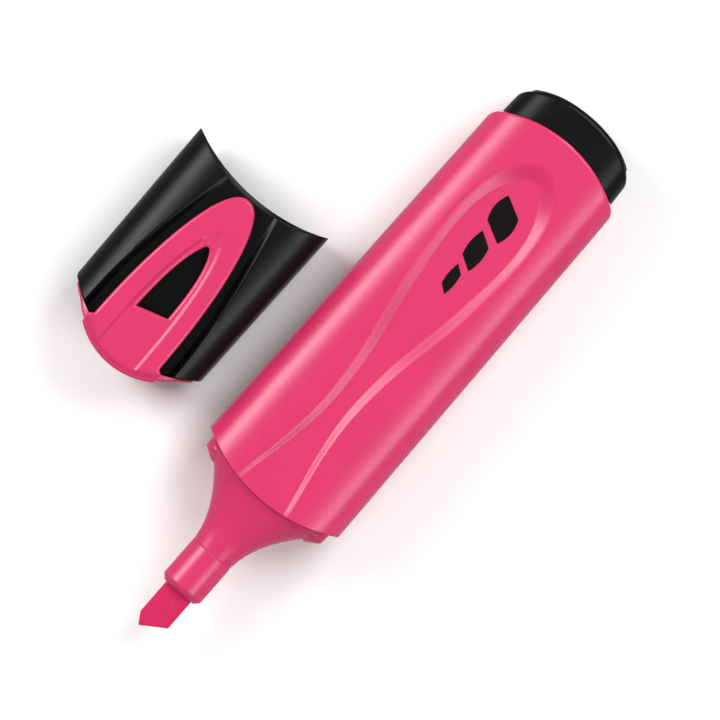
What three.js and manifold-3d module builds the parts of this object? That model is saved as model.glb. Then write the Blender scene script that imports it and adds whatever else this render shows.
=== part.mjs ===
// Flat chisel-tip highlighter, lying open on its back with its cap beside it.
// Units are millimetres, +Z is up, +X runs from the nib to the end plug.
import * as THREE from 'three';
import { mergeVertices } from 'three/addons/utils/BufferGeometryUtils.js';
import Module from 'manifold-3d';

const wasm = await Module();
wasm.setup();

// Barrel and cap section: a superellipse, the same for both so that they close flush
const HALF_THICKNESS = 8.5;
const CROWN = 3;
const FRONT_HALF_WIDTH = 13.65;
const REAR_HALF_WIDTH = 12.85;
const TAPER_LENGTH = 68.4;
const SECTION_SIDES = 48;

// Plan arcs of the barrel's two edges
const BARREL_LENGTH = 72.4;
const JOINT_RADIUS = 28.5;
const JOINT_BULGE = 3.45;
const REAR_RADIUS = 23.6;
const REAR_CORNER = 1.2;

// Bore through the barrel, which the nose and the plug push into
const BORE = { front: 12, rear: 11.2, halfThickness: 6.2 };
const GAP = 0.3;

// Waisted panel sunk into both faces: [x, half width] of its rim and of its floor
const PANEL_RIM = [
  [-8, 6.8], [0, 5], [8, 3.45], [16, 2.85], [26, 3.65], [38, 5.9], [50, 7.35], [59, 6.6], [64.5, 4],
];
const PANEL_FLOOR = [
  [-8, 5.3], [0, 4], [8, 2.4], [16, 1.45], [26, 1.95], [38, 4], [50, 5.25], [57, 4.75], [62, 2.6],
];
const PANEL_TIP = { rim: 66.9, floor: 63.9 };
const PANEL_HEIGHT = 7.9;
const PANEL_SLOPE = 0.0118;

// Nose: round neck, concave flare and the shoulder that the cap grips
const NECK = { front: -23.3, rear: -15.3, radius: 3.85, chamfer: 0.8 };
const FLARE = { power: 1.85, side: 0.0614, face: 0.0325, maxSide: 12.1, maxFace: 6.9 };
const SHOULDER = { halfWidth: 12.4, halfThickness: 5, front: -3.9, length: 4.9 };
const SHOULDER_BEVEL = { width: 2.4, thickness: 1.8, length: 1.4 };
const SPIGOT = { halfWidth: 11.5, halfThickness: 5.9, length: 7 };

// Nib: a flat felt bar with a slanted writing edge
const NIB = { tip: -31.6, tail: 5.5, halfWidth: 2.62, halfThickness: 1.8, tipHalfThickness: 1, tipY: 1.5 };
const NIB_SLANT = { long: 2.6, short: 1.9 };
const NIB_TAIL = { halfWidth: 2.2, halfThickness: 1.4, front: -16.3, point: 2.5 };
const NIB_CORNERS = 5;

// Ink reservoir and the film wrapped round it
const FIBRE = { front: -1, rear: 62, halfWidth: 8, halfThickness: 3.8, power: 2.6 };
const FILM_THICKNESS = 0.3;

// End plug
const PLUG = { end: 78, cornerX: 73.4, halfWidth: 11.75, cornerHalfWidth: 11.35, halfThickness: 7.2 };
const PLUG_END = { square: 0.0186, fourth: 0.00008, halfWidth: 10.06 };
const PLUG_SPIGOT = { halfWidth: 10.8, halfThickness: 5.9, front: 60 };

// Cap, in its own frame: x runs from the closed end to the mouth's corners
const CAP_LENGTH = 38.4;
const CAP_TAPER = 0.013;
const SLEEVE_END = { apex: 2.7, radius: 20.6, side: 8.3, halfWidth: 12.57 };
const SLEEVE_BORE = { x: 37, halfWidth: 12.6, halfThickness: 7.25, widthSlope: 0.02, thicknessSlope: 0.079 };
const CHANNEL_RIM = [[-3, 9.7], [11, 9.5], [19, 8.65], [27, 7.3], [35, 5.75], [42, 4.9]];
const CHANNEL_FLOOR = [[-3, 8.6], [11, 8.4], [19, 7.6], [27, 6.3], [35, 4.9], [42, 4]];
const CHANNEL_SLOPE = 0.072;
const UNDER_RIM = [[42, 4.9], [35, 5.75], [27, 6.5], [19, 6.7], [12.5, 5.2]];
const UNDER_FLOOR = [[42, 4], [35, 4.9], [27, 5.6], [19, 5.7], [14.5, 4]];
const UNDER_TIP = { rim: 9, floor: 11.5 };
const INSERT = { apex: 0.7, radius: 14.4, halfWidth: 12.3, halfThickness: 7.6, prong: 12 };
const PRONG = { halfWidth: 11.5, halfThickness: 4.3, slot: 4.5, slotStart: 3.9 };
const LINER = { closedEnd: 4.2, step: 14.5, mouth: 23.5, nibRadius: 3.3, neckRadius: 4.15, wall: 0.8 };

// Clip: a tongue that flexes at its root on the closed end
const CLIP = { root: 4.65, tip: 34.6, halfWidth: 6.95, taper: 0.45, top: 9.5, thickness: 1.6, rise: 0.0133 };
const TIP_ROUND = 0.42;
const CLIP_WINDOW = { upper: [10.05, 2.6], lower: [11.7, -2.62], tip: [24.45, 0] };
const CLIP_ROOT = { radius: 13, halfWidth: 7.6, bottom: 0.5 };
const CLIP_PANEL = [[-3, 4.1], [6, 4], [12, 3.8], [18, 3.2], [23, 2.3], [26, 1.25]];
const CLIP_PANEL_TIP = 27.6;
const CLIP_PANEL_DEPTH = 0.35;

// How the cap lies beside the pen
const CAP_BESIDE = 32.8;
const CAP_CLOSED_END = -3;

// Ends of cutting solids that only need to reach past the piece
const BEYOND = 20;
const SKIM = 0.06;

const PINK = { color: 0xe7426f, roughness: 0.35, metalness: 0 };
const BLACK = { color: 0x1c2022, roughness: 0.4, metalness: 0 };

// Solids ----------------------------------------------------------------------------------

function solid(geometry) {
  geometry.deleteAttribute('normal');
  geometry.deleteAttribute('uv');
  const merged = mergeVertices(geometry, 1e-4);
  return new wasm.Manifold(new wasm.Mesh({
    numProp: 3,
    vertProperties: merged.attributes.position.array,
    triVerts: Uint32Array.from(merged.index.array),
  }));
}

function toGeometry(manifold) {
  const mesh = manifold.getMesh();
  const geometry = new THREE.BufferGeometry();
  geometry.setAttribute('position', new THREE.BufferAttribute(mesh.vertProperties, 3));
  geometry.setIndex(new THREE.BufferAttribute(mesh.triVerts, 1));
  geometry.computeVertexNormals();
  return geometry;
}

// A closed skin over a stack of rings; flat gives a ring's point in the plane of the end faces
function loft(rings, flat) {
  const count = rings[0].length;
  const positions = rings.flat().flatMap((point) => point.toArray());
  const index = [];
  for (let row = 0; row < rings.length - 1; row += 1) {
    for (let column = 0; column < count; column += 1) {
      const next = (column + 1) % count;
      const a = row * count + column;
      const b = row * count + next;
      index.push(a, b, a + count, b, b + count, a + count);
    }
  }
  const lastRow = (rings.length - 1) * count;
  for (const [a, b, c] of THREE.ShapeUtils.triangulateShape(rings[0].map(flat), [])) {
    index.push(c, b, a);
  }
  for (const [a, b, c] of THREE.ShapeUtils.triangulateShape(rings.at(-1).map(flat), [])) {
    index.push(lastRow + a, lastRow + b, lastRow + c);
  }
  const geometry = new THREE.BufferGeometry();
  geometry.setAttribute('position', new THREE.Float32BufferAttribute(positions, 3));
  geometry.setIndex(index);
  return geometry;
}

const acrossX = (point) => new THREE.Vector2(point.y, point.z);
const acrossZ = (point) => new THREE.Vector2(point.x, point.y);

function roundPower(value, power) {
  return Math.sign(value) * Math.abs(value) ** (2 / power);
}

// One superellipse across X
function ovalRing(x, halfWidth, halfThickness, power = CROWN) {
  return Array.from({ length: SECTION_SIDES }, (_, step) => {
    const angle = (2 * Math.PI * step) / SECTION_SIDES;
    const y = halfWidth * roundPower(Math.cos(angle), power);
    const z = halfThickness * roundPower(Math.sin(angle), power);
    return new THREE.Vector3(x, y, z);
  });
}

// A bar along X through superellipse stations [x, half width, half thickness, power]
function bar(...stations) {
  return solid(loft(stations.map((station) => ovalRing(...station)), acrossX));
}

function prism(shape, low, high, curveSegments = 12) {
  const settings = { depth: high - low, bevelEnabled: false, curveSegments };
  const geometry = new THREE.ExtrudeGeometry(shape, settings);
  return solid(geometry.translate(0, 0, low));
}

// An upright round drum, which trims pieces to an arc in plan
function drum(x, radius, high = BEYOND) {
  const geometry = new THREE.CylinderGeometry(radius, radius, high + BEYOND, 120);
  return solid(geometry.rotateX(Math.PI / 2).translate(x, 0, (high - BEYOND) / 2));
}

function crownHeight(halfWidth, y) {
  return HALF_THICKNESS * (1 - Math.min(1, Math.abs(y) / halfWidth) ** CROWN) ** (1 / CROWN);
}

function barrelHalfWidth(x) {
  return FRONT_HALF_WIDTH - ((FRONT_HALF_WIDTH - REAR_HALF_WIDTH) * x) / TAPER_LENGTH;
}

function sleeveHalfWidth(x) {
  return FRONT_HALF_WIDTH - (CAP_LENGTH - x) * CAP_TAPER;
}

// An outline symmetric about the X axis, counterclockwise, with a round tip where one is given
function mirroredOutline(side, tip, steps = 44) {
  const forward = side[0][0] < side.at(-1)[0] ? -1 : 1;
  const near = side.map(([x, half]) => new THREE.Vector2(x, forward * half));
  const far = side.map(([x, half]) => new THREE.Vector2(x, -forward * half)).reverse();
  const middle = tip === undefined ? [] : [new THREE.Vector2(tip, 0)];
  return new THREE.SplineCurve([...near, ...middle, ...far]).getPoints(steps);
}

// A sunk panel's cutting solid: flat floor, walls that ease over to the rim on the crowned face
function sunkPanel(floorOutline, rimOutline, floorHeight, halfWidthAt) {
  const floor = floorOutline.map(({ x, y }) => new THREE.Vector3(x, y, floorHeight(x)));
  const rim = rimOutline.map(({ x, y }) => new THREE.Vector3(x, y, crownHeight(halfWidthAt(x), y)));
  const wall = floor.map((point, index) => {
    const middle = point.clone().lerp(rim[index], 0.5);
    middle.z = THREE.MathUtils.lerp(point.z, rim[index].z, 0.68);
    return middle;
  });
  const top = rim.map(({ x, y }) => new THREE.Vector3(x, y, HALF_THICKNESS + 3));
  return loft([floor, wall, rim, top], acrossZ);
}

// Barrel ----------------------------------------------------------------------------------

function barrelPlan() {
  const jointX = JOINT_RADIUS - JOINT_BULGE;
  const rearX = BARREL_LENGTH - REAR_RADIUS;
  const jointAngle = Math.asin((FRONT_HALF_WIDTH + SKIM) / JOINT_RADIUS);
  const rearAngle = Math.asin((REAR_HALF_WIDTH - REAR_CORNER / 1.5) / REAR_RADIUS);
  const cornerX = TAPER_LENGTH - REAR_CORNER;
  const sideY = barrelHalfWidth(cornerX) + SKIM;
  const rearY = REAR_RADIUS * Math.sin(rearAngle);
  const rearCornerX = rearX + REAR_RADIUS * Math.cos(rearAngle);
  const shape = new THREE.Shape();
  shape.absarc(jointX, 0, JOINT_RADIUS, Math.PI - jointAngle, Math.PI + jointAngle, false);
  shape.lineTo(cornerX, -sideY);
  shape.quadraticCurveTo(TAPER_LENGTH, -sideY, rearCornerX, -rearY);
  shape.absarc(rearX, 0, REAR_RADIUS, -rearAngle, rearAngle, false);
  shape.quadraticCurveTo(TAPER_LENGTH, sideY, cornerX, sideY);
  return shape;
}

function barrelPanel() {
  const floorHeight = (x) => PANEL_HEIGHT - PANEL_SLOPE * x;
  return sunkPanel(
    mirroredOutline(PANEL_FLOOR, PANEL_TIP.floor),
    mirroredOutline(PANEL_RIM, PANEL_TIP.rim),
    floorHeight,
    barrelHalfWidth,
  );
}

function barrelShell() {
  const ends = [-6, BARREL_LENGTH + 4];
  const outside = bar(...ends.map((x) => [x, barrelHalfWidth(x), HALF_THICKNESS]));
  const bore = bar([-6, BORE.front, BORE.halfThickness], [BARREL_LENGTH + 4, BORE.rear, BORE.halfThickness]);
  return outside
    .intersect(prism(barrelPlan(), -BEYOND, BEYOND, 24))
    .subtract(bore)
    .subtract(solid(barrelPanel()))
    .subtract(solid(barrelPanel().rotateX(Math.PI)));
}

// Nose ------------------------------------------------------------------------------------

function flareStation(x) {
  const along = Math.max(0, x - NECK.rear) ** FLARE.power;
  const side = Math.min(NECK.radius + FLARE.side * along, FLARE.maxSide);
  const face = Math.min(NECK.radius + FLARE.face * along, FLARE.maxFace);
  const power = THREE.MathUtils.mapLinear(Math.min(x, 0), NECK.rear, 0, 2, CROWN);
  return [x, side, face, power];
}

function noseShoulder() {
  const { front, halfWidth, halfThickness, length } = SHOULDER;
  const { width, thickness } = SHOULDER_BEVEL;
  return bar(
    [front, halfWidth - width, halfThickness - thickness],
    [front + SHOULDER_BEVEL.length, halfWidth - GAP, halfThickness - GAP],
    [front + length, halfWidth, halfThickness],
  );
}

function noseSection() {
  const neck = [
    [NECK.front, NECK.radius - NECK.chamfer, NECK.radius - NECK.chamfer, 2],
    [NECK.front + NECK.chamfer, NECK.radius, NECK.radius, 2],
  ];
  const flare = [NECK.rear, -13, -11, -9, -7, -5, -3, -1.2, 1].map(flareStation);
  const { halfWidth, halfThickness, length } = SPIGOT;
  const spigotCore = bar([-BEYOND, halfWidth, halfThickness], [BEYOND, halfWidth, halfThickness]);
  const barrelSpace = drum(JOINT_RADIUS - JOINT_BULGE, JOINT_RADIUS + GAP).subtract(spigotCore);
  const nibSpace = [NIB.halfWidth + GAP, NIB.halfThickness + GAP, NIB_CORNERS];
  const nibSlot = bar([NECK.front - 1, ...nibSpace], [0, ...nibSpace]);
  const socket = reservoirBar(FIBRE.front - GAP, length + 2, 3 * GAP);
  return bar(...neck, ...flare)
    .add(noseShoulder())
    .subtract(barrelSpace)
    .add(bar([-2.5, halfWidth, halfThickness], [length, halfWidth, halfThickness]))
    .subtract(nibSlot)
    .subtract(socket);
}

// Nib and reservoir -----------------------------------------------------------------------

function nibPlan() {
  const side = NIB.halfWidth + SKIM;
  return new THREE.Shape([
    new THREE.Vector2(NIB.tip, NIB.tipY),
    new THREE.Vector2(NIB.tip + NIB_SLANT.long, -side),
    new THREE.Vector2(BEYOND, -side),
    new THREE.Vector2(BEYOND, side),
    new THREE.Vector2(NIB.tip + NIB_SLANT.short, side),
  ]);
}

function nib() {
  const { front, halfWidth, halfThickness, point } = NIB_TAIL;
  const felt = bar(
    [NIB.tip - 1, NIB.halfWidth, NIB.tipHalfThickness, NIB_CORNERS],
    [NECK.front, NIB.halfWidth, NIB.halfThickness, NIB_CORNERS],
    [front - 2, NIB.halfWidth, NIB.halfThickness, NIB_CORNERS],
    [front, halfWidth, halfThickness, NIB_CORNERS],
    [NIB.tail - point, halfWidth, halfThickness, NIB_CORNERS],
    [NIB.tail, halfWidth / 2, halfThickness / 2, NIB_CORNERS],
  );
  return felt.intersect(prism(nibPlan(), -BEYOND, BEYOND));
}

function reservoirBar(front, rear, grow) {
  const halfWidth = FIBRE.halfWidth + grow;
  const halfThickness = FIBRE.halfThickness + grow;
  return bar([front, halfWidth, halfThickness, FIBRE.power], [rear, halfWidth, halfThickness, FIBRE.power]);
}

function inkReservoir() {
  const hole = [NIB_TAIL.halfWidth + GAP, NIB_TAIL.halfThickness + GAP, NIB_CORNERS];
  return reservoirBar(FIBRE.front, FIBRE.rear, 0)
    .subtract(bar([FIBRE.front - 1, ...hole], [NIB.tail + GAP, ...hole]));
}

function reservoirFilm() {
  const outside = reservoirBar(FIBRE.front + 1.5, FIBRE.rear - 1.5, GAP + FILM_THICKNESS);
  return outside.subtract(reservoirBar(FIBRE.front, FIBRE.rear, GAP));
}

// End plug --------------------------------------------------------------------------------

// The rear end in plan: nearly flat in the middle, turning faster towards the corners
function plugEndX(y) {
  return PLUG.end - PLUG_END.square * y ** 2 - PLUG_END.fourth * y ** 4;
}

function plugPlan() {
  const steps = 40;
  const end = Array.from({ length: steps + 1 }, (_, step) => {
    const y = PLUG_END.halfWidth * ((2 * step) / steps - 1);
    return new THREE.Vector2(plugEndX(y), y);
  });
  const sideY = PLUG.cornerHalfWidth + SKIM;
  const cornerX = plugEndX(PLUG.cornerHalfWidth);
  const shape = new THREE.Shape();
  shape.moveTo(PLUG_SPIGOT.front - 1, PLUG.halfWidth + 1);
  shape.lineTo(PLUG_SPIGOT.front - 1, -PLUG.halfWidth - 1);
  shape.lineTo(PLUG.cornerX, -sideY);
  shape.quadraticCurveTo(cornerX, -sideY, end[0].x, end[0].y);
  end.slice(1).forEach(({ x, y }) => shape.lineTo(x, y));
  shape.quadraticCurveTo(cornerX, sideY, PLUG.cornerX, sideY);
  return shape;
}

function endPlug() {
  const { halfWidth, halfThickness, front } = PLUG_SPIGOT;
  const head = bar([front + 6, PLUG.halfWidth, PLUG.halfThickness],
    [PLUG.cornerX, PLUG.cornerHalfWidth, PLUG.halfThickness],
    [PLUG.end + 1, PLUG.cornerHalfWidth - GAP, PLUG.halfThickness]);
  const spigotCore = bar([0, halfWidth, halfThickness], [PLUG.end, halfWidth, halfThickness]);
  const barrelSpace = drum(BARREL_LENGTH - REAR_RADIUS, REAR_RADIUS + GAP).subtract(spigotCore);
  return head
    .intersect(prism(plugPlan(), -BEYOND, BEYOND, 24))
    .subtract(barrelSpace)
    .add(bar([front, halfWidth, halfThickness], [BARREL_LENGTH, halfWidth, halfThickness]))
    .subtract(reservoirBar(front - 1, FIBRE.rear + 4, 3 * GAP));
}

// Cap -------------------------------------------------------------------------------------

const MOUTH_CENTRE = CAP_LENGTH - JOINT_BULGE + JOINT_RADIUS;
const SLEEVE_END_CENTRE = SLEEVE_END.apex + SLEEVE_END.radius;

function sleevePlan() {
  const mouthY = FRONT_HALF_WIDTH + SKIM;
  const mouthAngle = Math.asin(mouthY / JOINT_RADIUS);
  const endY = SLEEVE_END.halfWidth;
  const endAngle = Math.asin(endY / SLEEVE_END.radius);
  const sideY = sleeveHalfWidth(SLEEVE_END.side) + SKIM;
  const endX = SLEEVE_END_CENTRE - SLEEVE_END.radius * Math.cos(endAngle);
  const cornerX = (endX * 8 + SLEEVE_END.side) / 9;
  const shape = new THREE.Shape();
  shape.absarc(SLEEVE_END_CENTRE, 0, SLEEVE_END.radius, Math.PI - endAngle, Math.PI + endAngle, false);
  shape.quadraticCurveTo(cornerX, -sideY, SLEEVE_END.side, -sideY);
  shape.lineTo(MOUTH_CENTRE - JOINT_RADIUS * Math.cos(mouthAngle), -mouthY);
  shape.absarc(MOUTH_CENTRE, 0, JOINT_RADIUS, Math.PI + mouthAngle, Math.PI - mouthAngle, true);
  shape.lineTo(SLEEVE_END.side, sideY);
  shape.quadraticCurveTo(cornerX, sideY, endX, endY);
  return shape;
}

function clipChannel() {
  const floorHeight = (x) => PANEL_HEIGHT + PANEL_SLOPE * JOINT_BULGE
    - CHANNEL_SLOPE * (CAP_LENGTH - JOINT_BULGE - x);
  return sunkPanel(mirroredOutline(CHANNEL_FLOOR), mirroredOutline(CHANNEL_RIM), floorHeight, sleeveHalfWidth);
}

function underPanel() {
  const floorHeight = (x) => PANEL_HEIGHT - PANEL_SLOPE * (CAP_LENGTH - x);
  const floor = mirroredOutline(UNDER_FLOOR, UNDER_TIP.floor);
  const rim = mirroredOutline(UNDER_RIM, UNDER_TIP.rim);
  return sunkPanel(floor, rim, floorHeight, sleeveHalfWidth).rotateX(Math.PI);
}

function sleeveBoreStation(x) {
  const depth = SLEEVE_BORE.x - x;
  return [
    x,
    SLEEVE_BORE.halfWidth - SLEEVE_BORE.widthSlope * depth,
    SLEEVE_BORE.halfThickness - SLEEVE_BORE.thicknessSlope * depth,
  ];
}

function capSleeve() {
  const ends = [-2, CAP_LENGTH + 2];
  return bar(...ends.map((x) => [x, sleeveHalfWidth(x), HALF_THICKNESS]))
    .intersect(prism(sleevePlan(), -BEYOND, BEYOND, 24))
    .subtract(bar(...ends.map(sleeveBoreStation)))
    .subtract(solid(clipChannel()))
    .subtract(solid(underPanel()));
}

function clipPanel() {
  const outline = new THREE.Shape(mirroredOutline(CLIP_PANEL, CLIP_PANEL_TIP, 36));
  return prism(outline, CLIP.top - CLIP_PANEL_DEPTH, CLIP.top + 3);
}

function clipRootPlan() {
  const angle = Math.asin(CLIP_ROOT.halfWidth / CLIP_ROOT.radius);
  const shape = new THREE.Shape();
  shape.absarc(CLIP_ROOT.radius, 0, CLIP_ROOT.radius, Math.PI - angle, Math.PI + angle, false);
  shape.lineTo(CLIP.root - GAP / 2, -CLIP.halfWidth);
  shape.lineTo(CLIP.root - GAP / 2, CLIP.halfWidth);
  return shape;
}

function capInsert() {
  const { halfWidth, halfThickness } = INSERT;
  const sleeveSpace = drum(SLEEVE_END_CENTRE, SLEEVE_END.radius + GAP);
  const bulge = bar([-2, halfWidth, halfThickness], [INSERT.prong, halfWidth, halfThickness])
    .intersect(drum(INSERT.apex + INSERT.radius, INSERT.radius))
    .subtract(sleeveSpace);
  const linerSlot = solid(new THREE.BoxGeometry(BEYOND, 2 * PRONG.slot, BEYOND)
    .translate(PRONG.slotStart + BEYOND / 2, 0, 0));
  const prong = [PRONG.halfWidth, PRONG.halfThickness];
  const stopper = bar([0, ...prong], [INSERT.prong, ...prong])
    .intersect(drum(SLEEVE_END_CENTRE - GAP, SLEEVE_END.radius + GAP))
    .subtract(linerSlot);
  const root = prism(clipRootPlan(), CLIP_ROOT.bottom, CLIP.top)
    .subtract(drum(SLEEVE_END_CENTRE, SLEEVE_END.radius + GAP, CLIP.top - CLIP.thickness));
  return bulge.add(stopper).add(root).subtract(clipPanel());
}

function innerCap() {
  const { closedEnd, step, mouth, nibRadius, neckRadius, wall } = LINER;
  const profile = [
    [0, closedEnd],
    [nibRadius + wall, closedEnd],
    [nibRadius + wall, step],
    [neckRadius + wall, step + wall],
    [neckRadius + wall, mouth],
    [neckRadius, mouth],
    [neckRadius, step + wall],
    [nibRadius, step],
    [nibRadius, closedEnd + wall],
    [0, closedEnd + wall],
  ].map(([radius, x]) => new THREE.Vector2(radius, x));
  return solid(new THREE.LatheGeometry(profile, 32).rotateZ(-Math.PI / 2));
}

// Clip tongue -----------------------------------------------------------------------------

function tongueOutline() {
  const start = CLIP.root + GAP / 2;
  const length = CLIP.tip - start;
  const steps = 18;
  const side = Array.from({ length: steps }, (_, step) => {
    const share = Math.sin((Math.PI * step) / (2 * steps));
    return new THREE.Vector2(start + length * share, -CLIP.halfWidth * (1 - share * share) ** CLIP.taper);
  });
  const otherSide = side.map(({ x, y }) => new THREE.Vector2(x, -y)).reverse();
  return new THREE.Shape([...side, new THREE.Vector2(CLIP.tip, 0), ...otherSide]);
}

function clipWindow() {
  const { upper, lower, tip } = CLIP_WINDOW;
  const shape = new THREE.Shape();
  shape.moveTo(...upper);
  shape.lineTo(...lower);
  shape.quadraticCurveTo(tip[0] - 3, lower[1] + 0.1, tip[0], tip[1] - TIP_ROUND);
  shape.quadraticCurveTo(tip[0] + TIP_ROUND, tip[1], tip[0], tip[1] + TIP_ROUND);
  shape.quadraticCurveTo(tip[0] - 4, upper[1] - 0.15, ...upper);
  return shape;
}

function clip() {
  const tongue = prism(tongueOutline(), CLIP.top - CLIP.thickness, CLIP.top)
    .subtract(prism(clipWindow(), -BEYOND, BEYOND))
    .subtract(clipPanel());
  const geometry = toGeometry(tongue).translate(-CLIP.root, 0, -CLIP.top);
  return geometry.rotateY(-CLIP.rise).translate(CLIP.root, 0, CLIP.top);
}

// Assembly --------------------------------------------------------------------------------

function piece(name, geometry, material) {
  const mesh = new THREE.Mesh(geometry, new THREE.MeshStandardMaterial(material));
  mesh.name = name;
  return mesh;
}

const pen = new THREE.Group();
pen.add(
  piece('barrel_shell', toGeometry(barrelShell()), PINK),
  piece('nose_section', toGeometry(noseSection()), PINK),
  piece('nib', toGeometry(nib()), { color: 0xdf3363, roughness: 0.9, metalness: 0 }),
  piece('ink_reservoir', toGeometry(inkReservoir()), { color: 0xe0507c, roughness: 1, metalness: 0 }),
  piece('reservoir_film', toGeometry(reservoirFilm()), { color: 0xf0f0ee, roughness: 0.2, metalness: 0 }),
  piece('end_plug', toGeometry(endPlug()), BLACK),
);

const cap = new THREE.Group();
cap.add(
  piece('cap_sleeve', toGeometry(capSleeve()), BLACK),
  piece('cap_insert', toGeometry(capInsert()), PINK),
  piece('inner_cap', toGeometry(innerCap()), { color: 0xf2f1ec, roughness: 0.5, metalness: 0 }),
  piece('clip', clip(), PINK),
);

// The origin is the middle of the whole object's base
const middleX = (NIB.tip + PLUG.end) / 2;
const middleY = CAP_BESIDE / 2;
pen.position.set(-middleX, -middleY, HALF_THICKNESS);
cap.position.set(CAP_CLOSED_END - middleX, CAP_BESIDE - middleY, HALF_THICKNESS);

const highlighter = new THREE.Group();
highlighter.add(pen, cap);

export default highlighter;
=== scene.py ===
"""Flat chisel-tip highlighter, open, with its cap beside it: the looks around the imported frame."""
import math

import bpy
import numpy as np
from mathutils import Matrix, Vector
from mathutils.geometry import delaunay_2d_cdt


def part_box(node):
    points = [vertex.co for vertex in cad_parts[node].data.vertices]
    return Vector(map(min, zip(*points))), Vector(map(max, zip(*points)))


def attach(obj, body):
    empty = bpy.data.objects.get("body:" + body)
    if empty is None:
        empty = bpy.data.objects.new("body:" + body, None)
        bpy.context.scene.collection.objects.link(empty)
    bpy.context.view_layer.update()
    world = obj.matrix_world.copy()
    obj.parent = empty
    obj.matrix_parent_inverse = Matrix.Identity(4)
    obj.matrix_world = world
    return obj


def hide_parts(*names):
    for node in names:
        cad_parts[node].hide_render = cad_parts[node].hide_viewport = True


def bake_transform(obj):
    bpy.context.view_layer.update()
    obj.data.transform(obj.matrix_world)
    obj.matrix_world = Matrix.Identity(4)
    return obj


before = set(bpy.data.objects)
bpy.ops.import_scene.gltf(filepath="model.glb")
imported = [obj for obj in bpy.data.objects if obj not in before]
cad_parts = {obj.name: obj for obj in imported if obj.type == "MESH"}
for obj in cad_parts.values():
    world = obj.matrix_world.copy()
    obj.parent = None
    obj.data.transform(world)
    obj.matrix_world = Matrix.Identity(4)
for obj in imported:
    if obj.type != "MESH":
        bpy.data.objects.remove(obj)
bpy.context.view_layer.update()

# Sizes are in millimetres. The pen's X is 0 at the corners of the barrel's front edge, and the cap's X is 0
# at its closed end. Y is 0 on the centre line and Z is 0 halfway up.
MM = 0.001
HALF = 8.5                  # half thickness of barrel and cap
CROWN = 3.0                 # power of the section's superellipse
JOINT_RADIUS = 28.5         # the arc in plan where cap and barrel meet
JOINT_BULGE = 3.45

# ---------------------------------------------------------------- where the pen and the cap lie
barrel_low, barrel_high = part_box("barrel_shell")
sleeve_low, sleeve_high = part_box("cap_sleeve")
insert_low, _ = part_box("cap_insert")
PEN = Vector((barrel_low.x + JOINT_BULGE * MM, (barrel_low.y + barrel_high.y) / 2, HALF * MM))
CAP = Vector((insert_low.x, (sleeve_low.y + sleeve_high.y) / 2, HALF * MM))


def link(data, name):
    ob = bpy.data.objects.new(name, data)
    bpy.context.scene.collection.objects.link(ob)
    return ob


def make(name, points, faces, origin, sharp):
    """A mesh from points in the pen's or the cap's own frame, with edges sharper than an angle in degrees."""
    placed = np.asarray(points, float).reshape(-1, 3) * MM + np.array(origin)
    mesh = bpy.data.meshes.new(name)
    mesh.from_pydata(placed.tolist(), [], [list(map(int, face)) for face in faces])
    mesh.validate()
    mesh.update()
    mesh.shade_smooth()
    mesh.set_sharp_from_angle(angle=math.radians(sharp))
    return link(mesh, name)


def grid_faces(rows, cols, wrap_rows=False):
    """Quads between neighbouring rings, closed round each ring."""
    r, c = np.meshgrid(np.arange(rows if wrap_rows else rows - 1), np.arange(cols), indexing="ij")
    below, beside = (r + 1) % rows, (c + 1) % cols
    corners = [r * cols + c, r * cols + beside, below * cols + beside, below * cols + c]
    return np.stack(corners, -1).reshape(-1, 4).tolist()


def capped(rings, front=None):
    """Points and faces of a solid through rings. Its ends are flat unless the front's faces are given."""
    count = len(rings[0])
    faces = grid_faces(len(rings), count)
    faces += front or [list(range(count))[::-1]]
    faces.append(list(range((len(rings) - 1) * count, len(rings) * count)))
    return np.concatenate(rings), faces


def ring_of_rings(rings):
    """Points and faces of a tube with a wall, through rings along its outside and back along its inside."""
    return np.concatenate(rings), grid_faces(len(rings), len(rings[0]), wrap_rows=True)


def ring_at(x, y, z):
    """One ring, where x is a number or has a value for each point."""
    return np.stack([x + 0 * y, y, z], -1)


def inner_rings(ring, shares, x_at):
    """Rings inside a ring, each a share of its size, with an end's x by y."""
    return [ring_at(x_at(ring[:, 1] * f), ring[:, 1] * f, ring[:, 2] * f) for f in shares]


def spaced(ring, count=0, spacing=1.0):
    """A closed ring's points spaced evenly: a number of them, or as many as the spacing gives."""
    closed = np.vstack([ring, ring[:1]])
    d = np.r_[0, np.cumsum(np.linalg.norm(np.diff(closed, axis=0), axis=1))]
    s = np.linspace(0, d[-1], count or int(d[-1] / spacing), endpoint=False)
    return np.stack([np.interp(s, d, axis) for axis in closed.T], -1)


def ramp(t):
    """Smooth step from 0 to 1."""
    t = np.clip(t, 0, 1)
    return t * t * (3 - 2 * t)


# ---------------------------------------------------------------- outlines
def curve(points, steps=900):
    """Smooth curve through the points."""
    p = np.asarray(points, float)
    last = len(p) - 1
    t = np.linspace(0, last, steps)
    i = np.minimum(t.astype(int), last - 1)
    w = (t - i)[:, None]
    before, start = p[np.maximum(i - 1, 0)], p[i]
    end, after = p[i + 1], p[np.minimum(i + 2, last)]
    v0, v1 = (end - before) / 2, (after - start) / 2
    cubic = 2 * start - 2 * end + v0 + v1
    square = -3 * start + 3 * end - 2 * v0 - v1
    return cubic * w**3 + square * w**2 + v0 * w + start


def quadratic(start, control, end, steps, endpoint=True):
    """Points along a quadratic curve in plan."""
    t = np.linspace(0, 1, steps, endpoint=endpoint)[:, None]
    return (1 - t) ** 2 * np.array(start) + 2 * t * (1 - t) * np.array(control) + t * t * np.array(end)


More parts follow.
